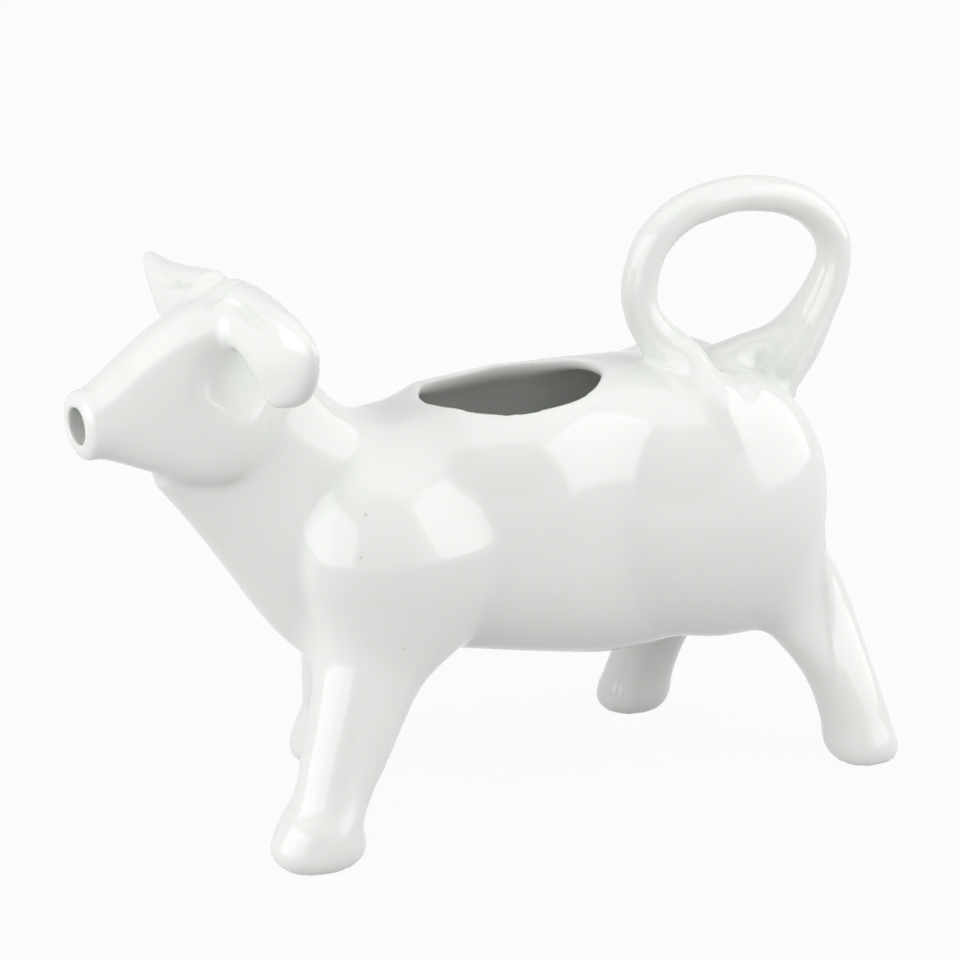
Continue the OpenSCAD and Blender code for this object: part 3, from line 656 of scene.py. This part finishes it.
class Skin:
    """Points and four-sided faces between the castings and the air round them."""

    def __init__(self, clay):
        label = np.where(clay.skin < 0, clay.owner, 0).astype(np.int8)
        nx, ny, nz = label.shape
        views = [label[i:nx - 1 + i, j:ny - 1 + j, k:nz - 1 + k] for i, j, k in product((0, 1), repeat=3)]
        mixed = np.minimum.reduce(views) != np.maximum.reduce(views)
        cells = np.argwhere(mixed)
        number = np.full(mixed.shape, -1, np.int32)
        number[mixed] = np.arange(len(cells))
        self.points, self.open = self.first_points(clay.skin, cells)
        self.faces, self.sides = self.join(label, number)
        self.relax(clay)

    @staticmethod
    def first_points(skin, cells):
        """One point per mixed cell: the middle of the places where the skin crosses the cell's edges."""
        total = np.zeros((len(cells), 3), np.float32)
        count = np.zeros(len(cells), np.float32)
        for axis, u, v in product(range(3), (0, 1), (0, 1)):
            a = np.insert([u, v], axis, 0)
            b = np.insert([u, v], axis, 1)
            fa = skin[tuple((cells + a).T)]
            fb = skin[tuple((cells + b).T)]
            hit = (fa < 0) != (fb < 0)
            t = np.where(hit, fa / np.where(hit, fa - fb, 1), 0)
            total += np.where(hit[:, None], a + t[:, None] * (b - a), 0)
            count += hit
        middle = np.where(count[:, None] > 0, total / np.maximum(count, 1)[:, None], 0.5)
        return cells + middle, count > 0

    @staticmethod
    def join(label, number):
        """Faces across every grid edge whose ends belong to different castings."""
        faces, sides = [], []
        ring = ((-1, -1), (0, -1), (0, 0), (-1, 0))
        for axis, around in enumerate((ring, ring[:1] + ring[:0:-1], ring)):
            a = np.take(label, np.arange(label.shape[axis] - 1), axis)
            b = np.take(label, np.arange(1, label.shape[axis]), axis)
            edges = np.argwhere(a != b)
            pair = np.stack([a[tuple(edges.T)], b[tuple(edges.T)]], 1)
            quad = []
            for u, v in around:
                cell = edges + np.insert([u, v], axis, 0)
                quad.append(number[tuple(cell.T)])
            faces.append(np.stack(quad, 1))
            sides.append(pair)
        return np.concatenate(faces), np.concatenate(sides)

    def relax(self, clay):
        """Draws the seams straight, evens the hidden joints and puts the open points on the skin."""
        slopes = np.gradient(clay.skin)
        outer = (self.sides == 0).any(axis=1)
        owner = self.sides.max(axis=1)
        ends = np.stack([self.faces, np.roll(self.faces, -1, axis=1)], 2)
        pairs = np.sort(ends[outer].reshape(-1, 2), axis=1)
        key = pairs[:, 0].astype(np.int64) * len(self.points) + pairs[:, 1]
        order = np.argsort(key, kind="stable")
        key, owners = key[order], np.repeat(owner[outer], 4)[order]
        same = (key[1:] == key[:-1]) & (owners[1:] != owners[:-1])
        seam = pairs[order][1:][same]
        hidden = np.unique(np.sort(ends[~outer].reshape(-1, 2), axis=1), axis=0)
        plain = np.unique(pairs, axis=0)
        loose = self.open.copy()
        loose[seam.ravel()] = False
        for _ in range(RELAX_ROUNDS):
            self.pull(seam, np.ones(len(self.points), bool), SEAM_PULL)
            self.pull(plain, loose, SKIN_PULL)
            self.pull(hidden, ~self.open, JOINT_PULL)
            self.settle(clay.skin, slopes, self.open)
            self.settle(clay.skin, slopes, ~self.open, clay.step)
        self.normals = np.stack([between(g, self.points) for g in slopes], 1)
        self.normals /= np.linalg.norm(self.normals, axis=1, keepdims=True) + 1e-9
        # How hollow the skin is at each point; the glaze darkens with it, as painted shade in creases and
        # partly as pooled glaze
        bend = sum(np.gradient(g, axis=k) for k, g in enumerate(slopes)) / clay.step
        self.hollows = np.clip(-between(bend, self.points), -1, 1)
        for _ in range(EVEN_ROUNDS):
            total, count = self.neighbours(plain, self.hollows)
            self.hollows = (self.hollows + total) / (1 + count)
        self.places = clay.low + self.points * clay.step

    def neighbours(self, edges, values):
        """Sum of the values of each point's neighbours along the edges, and their number."""
        total, count = np.zeros(len(values)), np.zeros(len(values))
        for a, b in ((0, 1), (1, 0)):
            total += np.bincount(edges[:, a], values[edges[:, b]], len(values))
            count += np.bincount(edges[:, a], minlength=len(values))
        return total, count

    def pull(self, edges, free, share):
        """Moves free points toward the middle of their neighbours along the edges."""
        for k, (total, count) in enumerate([self.neighbours(edges, column) for column in self.points.T]):
            move = free & (count > 0)
            self.points[move, k] += share * (total[move] / count[move] - self.points[move, k])

    def settle(self, skin, slopes, chosen, depth=None):
        """Puts the chosen points on the skin, or keeps them at least that deep under it."""
        points = self.points[chosen]
        gap = between(skin, points)
        if depth is not None:
            gap = np.maximum(gap + depth, 0)
        way = np.stack([between(g, points) for g in slopes], 1)
        step = gap[:, None] * way / (np.sum(way * way, axis=1, keepdims=True) + 1e-6)
        self.points[chosen] = points - np.clip(step, -0.5, 0.5)


drawn = {}


def figure_skin():
    """The skin of the figure, drawn once."""
    if "skin" not in drawn:
        drawn["skin"] = Skin(model_figure(sizes_in_mm(), FINE_STEP))
    return drawn["skin"]


def make_piece(owner):
    """One casting of the figure as an object that stands for its solid."""
    skin = figure_skin()
    name = CASTINGS[owner][0]
    ahead = skin.sides[:, 0] == owner
    behind = skin.sides[:, 1] == owner
    faces = np.concatenate([skin.faces[ahead], skin.faces[behind][:, ::-1]])
    sides = np.concatenate([skin.sides[ahead], skin.sides[behind]])
    if len(faces) == 0:
        raise RuntimeError(f"no clay belongs to {name}")
    outer = (sides == 0).any(axis=1)
    # A hidden face with one sunk corner starts there, so that both its triangles lead down from the skin
    sunk = ~skin.open[faces] & ~outer[:, None]
    first = np.where(sunk.sum(axis=1) == 1, sunk.argmax(axis=1), 0)
    faces = np.take_along_axis(faces, (first[:, None] + np.arange(4)) % 4, axis=1)
    used, faces = np.unique(faces, return_inverse=True)
    faces = faces.reshape(-1, 4)
    points = (skin.places[used] / 1000).astype(np.float32)
    mesh = bpy.data.meshes.new(name + "_glazed")
    mesh.vertices.add(len(points))
    mesh.vertices.foreach_set("co", points.ravel())
    mesh.loops.add(faces.size)
    mesh.loops.foreach_set("vertex_index", faces.ravel().astype(np.int32))
    mesh.polygons.add(len(faces))
    mesh.polygons.foreach_set("loop_start", np.arange(0, faces.size, 4, dtype=np.int32))
    corners = points[faces]
    flat = np.cross(corners[:, 2] - corners[:, 0], corners[:, 3] - corners[:, 1])
    flat /= np.linalg.norm(flat, axis=1, keepdims=True) + 1e-12
    sole = outer & (corners[:, :, 2].max(axis=1) < SOLE_HEIGHT) & (flat[:, 2] < SOLE_SLOPE)
    mesh.polygons.foreach_set("material_index", sole.astype(np.int32))
    mesh.polygons.foreach_set("use_smooth", np.ones(len(faces), bool))
    # Hollowness of the skin, which the glaze turns into painted shade in creases, partly pooled glaze
    hollows = mesh.attributes.new("hollows", "FLOAT", "POINT")
    hollows.data.foreach_set("value", skin.hollows[used].astype(np.float32))
    for material in (glaze_material(), bare_material()):
        mesh.materials.append(material)
    mesh.update()
    mesh.validate()
    normals = skin.normals[used][faces]
    turned = np.sum(flat * normals.mean(axis=1), axis=1) < 0
    normals[turned] *= -1
    mesh.normals_split_custom_set(normals.reshape(-1, 3).tolist())
    piece = bpy.data.objects.new(name + "_glazed", mesh)
    bpy.context.scene.collection.objects.link(piece)
    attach(piece, "root")
    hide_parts(name)


# Finishes


def add_node(tree, kind, place, inputs=None, **values):
    """A node with its values and the levels of its inputs."""
    node = tree.nodes.new(kind)
    node.location = place
    for name, value in values.items():
        setattr(node, name, value)
    for socket, level in (inputs or {}).items():
        node.inputs[socket].default_value = level
    return node


def link(tree, *links):
    """Links nodes, each by a node, its output, the next node and that one's input."""
    for source, output, target, socket in links:
        tree.links.new(source.outputs[output], target.inputs[socket])


def new_material(name, inputs):
    """A material with its tree and its shader, whose inputs get their levels."""
    material = bpy.data.materials.new(name)
    material.use_nodes = True
    shader = material.node_tree.nodes["Principled BSDF"]
    for socket, level in inputs.items():
        shader.inputs[socket].default_value = level
    return material, material.node_tree, shader


def glaze_material():
    """White porcelain under a clear, slightly uneven glaze, darker in creases and hollows: partly pooled
    glaze, partly painted shade.
    """
    if "Porcelain glaze" in bpy.data.materials:
        return bpy.data.materials["Porcelain glaze"]
    finish = bpy.context.scene.creamer_finish
    unevenness = 0.03
    material, tree, shader = new_material("Porcelain glaze", {"IOR": 1.5})
    coords = add_node(tree, "ShaderNodeTexCoord", (-1200, 0))
    cloud = add_node(tree, "ShaderNodeTexNoise", (-900, 200), {"Scale": 45, "Detail": 3})
    hollows = add_node(tree, "ShaderNodeAttribute", (-900, 450), attribute_name="hollows")
    # Painted shade in creases: the glaze turns toward its darker colour where the skin is hollow, partly as
    # pooled glaze
    pooled_and_crease_shade = add_node(tree, "ShaderNodeMapRange", (-650, 450), {"From Min": 0.10, "From Max": 0.60},
                    interpolation_type="SMOOTHSTEP")
    drift = add_node(tree, "ShaderNodeMapRange", (-650, 200),
                     {"From Min": 0.35, "From Max": 0.65, "To Max": 0.12})
    # The stronger of the painted crease shade and the random drift of tone sets how dark the glaze is
    depth = add_node(tree, "ShaderNodeMath", (-420, 320), operation="MAXIMUM")
    colour = add_node(tree, "ShaderNodeMix", (-220, 320),
                      {"A": (*finish.glaze, 1), "B": (*finish.pooled_glaze_and_crease_shade, 1)}, data_type="RGBA")
    rough = add_node(tree, "ShaderNodeMapRange", (-420, 0), {
        "From Min": 0.3, "From Max": 0.7,
        "To Min": finish.roughness - unevenness, "To Max": finish.roughness + unevenness})
    peel = add_node(tree, "ShaderNodeTexNoise", (-650, -250), {"Scale": 260, "Detail": 1})
    bump = add_node(tree, "ShaderNodeBump", (-220, -250), {"Strength": 0.06, "Distance": 0.0004})
    link(tree, (coords, "Object", cloud, "Vector"), (coords, "Object", peel, "Vector"),
         (hollows, "Fac", pooled_and_crease_shade, "Value"), (cloud, "Fac", drift, "Value"),
         (pooled_and_crease_shade, "Result", depth, 0), (drift, "Result", depth, 1),
         (depth, "Value", colour, "Factor"), (colour, "Result", shader, "Base Color"),
         (cloud, "Fac", rough, "Value"), (rough, "Result", shader, "Roughness"),
         (peel, "Fac", bump, "Height"), (bump, "Normal", shader, "Normal"))
    return material


def bare_material():
    """Unglazed fired clay, dry and slightly sandy."""
    if "Bare clay" in bpy.data.materials:
        return bpy.data.materials["Bare clay"]
    bare = bpy.context.scene.creamer_finish.bare
    shade = 0.82
    material, tree, shader = new_material("Bare clay", {"Roughness": 0.85})
    coords = add_node(tree, "ShaderNodeTexCoord", (-900, 0))
    grit = add_node(tree, "ShaderNodeTexNoise", (-650, 0), {"Scale": 900, "Detail": 4})
    colour = add_node(tree, "ShaderNodeMix", (-350, 100),
                      {"A": (*bare, 1), "B": (*[c * shade for c in bare], 1)}, data_type="RGBA")
    bump = add_node(tree, "ShaderNodeBump", (-350, -200), {"Strength": 0.4, "Distance": 0.0002})
    link(tree, (coords, "Object", grit, "Vector"), (grit, "Fac", colour, "Factor"),
         (colour, "Result", shader, "Base Color"), (grit, "Fac", bump, "Height"),
         (bump, "Normal", shader, "Normal"))
    return material


# Operators


def cast(*owners):
    """Makes these castings, glazed and with bare soles."""
    for owner in owners:
        make_piece(owner)
    return {"FINISHED"}


class CREAMER_OT_body(bpy.types.Operator):
    """Casts the hollow body with its filling hole"""

    bl_idname = "creamer.body"
    bl_label = "Body"

    def execute(self, context):
        return cast(BODY)


class CREAMER_OT_head(bpy.types.Operator):
    """Casts the hollow head with its neck and spout"""

    bl_idname = "creamer.head"
    bl_label = "Head"

    def execute(self, context):
        return cast(HEAD)


class CREAMER_OT_ears(bpy.types.Operator):
    """Lutes both ears to the head"""

    bl_idname = "creamer.ears"
    bl_label = "Ears"

    def execute(self, context):
        return cast(LEFT_EAR, RIGHT_EAR)


class CREAMER_OT_tail(bpy.types.Operator):
    """Lutes the looped tail, which is the handle, to the rump"""

    bl_idname = "creamer.tail"
    bl_label = "Tail handle"

    def execute(self, context):
        return cast(TAIL)


class CREAMER_OT_legs(bpy.types.Operator):
    """Lutes the four legs, with bare soles, to the body"""

    bl_idname = "creamer.legs"
    bl_label = "Legs"

    def execute(self, context):
        return cast(FRONT_LEFT, FRONT_RIGHT, REAR_LEFT, REAR_RIGHT)


class CREAMER_OT_udder(bpy.types.Operator):
    """Lutes the udder to the belly"""

    bl_idname = "creamer.udder"
    bl_label = "Udder"

    def execute(self, context):
        return cast(UDDER)


def seen_white(tree, place):
    """A node that gives 1 for what the camera, gloss and glass see, and 0 for light on the figure."""
    path = add_node(tree, "ShaderNodeLightPath", place)
    first = add_node(tree, "ShaderNodeMath", (place[0] + 200, place[1]), operation="MAXIMUM")
    second = add_node(tree, "ShaderNodeMath", (place[0] + 400, place[1]), operation="MAXIMUM")
    link(tree, (path, "Is Camera Ray", first, 0), (path, "Is Glossy Ray", first, 1),
         (first, "Value", second, 0), (path, "Is Transmission Ray", second, 1))
    return second


def make_floor(scene, stage):
    """A pale floor, nearly white to the camera, that keeps the figure's shadow."""
    mesh = bpy.data.meshes.new("Floor")
    mesh.from_pydata([(-6, -6, 0), (6, -6, 0), (6, 6, 0), (-6, 6, 0)], [], [(0, 1, 2, 3)])
    floor = bpy.data.objects.new("Floor", mesh)
    scene.collection.objects.link(floor)
    paper, tree, shader = new_material("White paper", {
        "Base Color": (*stage.floor, 1), "Roughness": 0.9, "Specular IOR Level": 0.1})
    bright = add_node(tree, "ShaderNodeEmission", (-300, -300), {"Color": WHITE})
    mix = add_node(tree, "ShaderNodeMixShader", (300, 0))
    share = add_node(tree, "ShaderNodeMath", (0, 300), {1: FLOOR_WHITE}, operation="MULTIPLY")
    link(tree, (seen_white(tree, (-700, 300)), "Value", share, 0), (share, "Value", mix, "Fac"),
         (shader, "BSDF", mix, 1), (bright, "Emission", mix, 2),
         (mix, "Shader", tree.nodes["Material Output"], "Surface"))
    mesh.materials.append(paper)


def make_world(scene, stage):
    """Even light on the figure, and white round it in the gloss, with a dim gap round the camera."""
    world = bpy.data.worlds.new("Studio")
    world.use_nodes = True
    scene.world = world
    tree = world.node_tree
    dim = tree.nodes["Background"]
    dim.inputs["Color"].default_value = WHITE
    dim.inputs["Strength"].default_value = stage.sky
    toward = (math.sin(stage.azimuth) * GAP_LEVEL, -math.cos(stage.azimuth) * GAP_LEVEL, GAP_RISE)
    coords = add_node(tree, "ShaderNodeTexCoord", (-900, -200))
    facing = add_node(tree, "ShaderNodeVectorMath", (-700, -200), {1: toward}, operation="DOT_PRODUCT")
    gap = add_node(tree, "ShaderNodeMapRange", (-450, -200), {
        "From Min": math.cos(stage.gap + GAP_EDGE), "From Max": math.cos(stage.gap),
        "To Min": 1, "To Max": GAP_DIM}, interpolation_type="SMOOTHSTEP")
    white = add_node(tree, "ShaderNodeBackground", (0, -200), {"Color": WHITE})
    mix = add_node(tree, "ShaderNodeMixShader", (300, 0))
    link(tree, (coords, "Generated", facing, 0), (facing, "Value", gap, "Value"),
         (gap, "Result", white, "Strength"), (seen_white(tree, (-700, 200)), "Value", mix, "Fac"),
         (dim, "Background", mix, 1), (white, "Background", mix, 2),
         (mix, "Shader", tree.nodes["World Output"], "Surface"))


def add_aimed(name, data, place, way):
    """An object at its place that looks along the way."""
    body = bpy.data.objects.new(name, data)
    body.location = place
    body.rotation_mode = "QUATERNION"
    body.rotation_quaternion = way.to_track_quat("-Z", "Y")
    bpy.context.scene.collection.objects.link(body)
    return body


def add_lamp(name, place, size, power):
    """A soft rectangular lamp."""
    lamp = bpy.data.lights.new(name, "AREA")
    lamp.shape = "RECTANGLE"
    lamp.size, lamp.size_y = size
    lamp.energy = power
    add_aimed(name, lamp, place, Vector(LAMP_AIM) - Vector(place))


def set_camera(scene, stage):
    """The camera at the place from which the photo was taken."""
    a, e = stage.azimuth, stage.elevation
    back = Vector((math.sin(a) * math.cos(e), -math.cos(a) * math.cos(e), math.sin(e)))
    camera = bpy.data.cameras.new("Camera")
    camera.sensor_width = SENSOR
    camera.lens = SENSOR * stage.distance / stage.field
    camera.clip_start = 0.05
    scene.camera = add_aimed("Camera", camera, Vector(CAMERA_AIM) + back * stage.distance, -back)


class CREAMER_OT_stage(bpy.types.Operator):
    """Sets the pale floor, the soft lamps and the camera"""

    bl_idname = "creamer.stage"
    bl_label = "Stage"

    def execute(self, context):
        scene = context.scene
        stage = scene.creamer_stage
        make_floor(scene, stage)
        make_world(scene, stage)
        add_lamp("Top panel", (0.1, 0.0, 1.25), (2.0, 1.6), stage.top)
        add_lamp("Left panel", (-1.15, -0.25, 0.38), (2.2, 1.4), stage.left)
        add_lamp("Right panel", (1.00, -0.60, 0.50), (1.7, 1.3), stage.right)
        set_camera(scene, stage)
        scene.view_settings.view_transform = "Standard"
        return {"FINISHED"}


class CREAMER_PT_panel(bpy.types.Panel):
    """Lists the sizes, the finish and the pieces"""

    bl_idname = "CREAMER_PT_panel"
    bl_label = "Cow creamer"
    bl_space_type = "VIEW_3D"
    bl_region_type = "UI"
    bl_category = "Creamer"

    def draw(self, context):
        scene = context.scene
        for group, kind in ((scene.creamer_sizes, CreamerSizes), (scene.creamer_finish, CreamerFinish),
                            (scene.creamer_stage, CreamerStage)):
            box = self.layout.box()
            for name in kind.__annotations__:
                box.prop(group, name)
        for operator in OPERATORS:
            self.layout.operator(operator.bl_idname)


OPERATORS = (CREAMER_OT_body, CREAMER_OT_head, CREAMER_OT_ears, CREAMER_OT_tail, CREAMER_OT_legs,
             CREAMER_OT_udder, CREAMER_OT_stage)
CLASSES = (CreamerSizes, CreamerFinish, CreamerStage, *OPERATORS, CREAMER_PT_panel)


def register():
    for kind in CLASSES:
        bpy.utils.register_class(kind)
    bpy.types.Scene.creamer_sizes = PointerProperty(type=CreamerSizes)
    bpy.types.Scene.creamer_finish = PointerProperty(type=CreamerFinish)
    bpy.types.Scene.creamer_stage = PointerProperty(type=CreamerStage)


def unregister():
    del bpy.types.Scene.creamer_stage
    del bpy.types.Scene.creamer_finish
    del bpy.types.Scene.creamer_sizes
    for kind in reversed(CLASSES):
        bpy.utils.unregister_class(kind)


def main():
    register()
    for piece in ("body", "head", "ears", "tail", "legs", "udder", "stage"):
        getattr(bpy.ops.creamer, piece)()


if __name__ == "__main__":
    main()
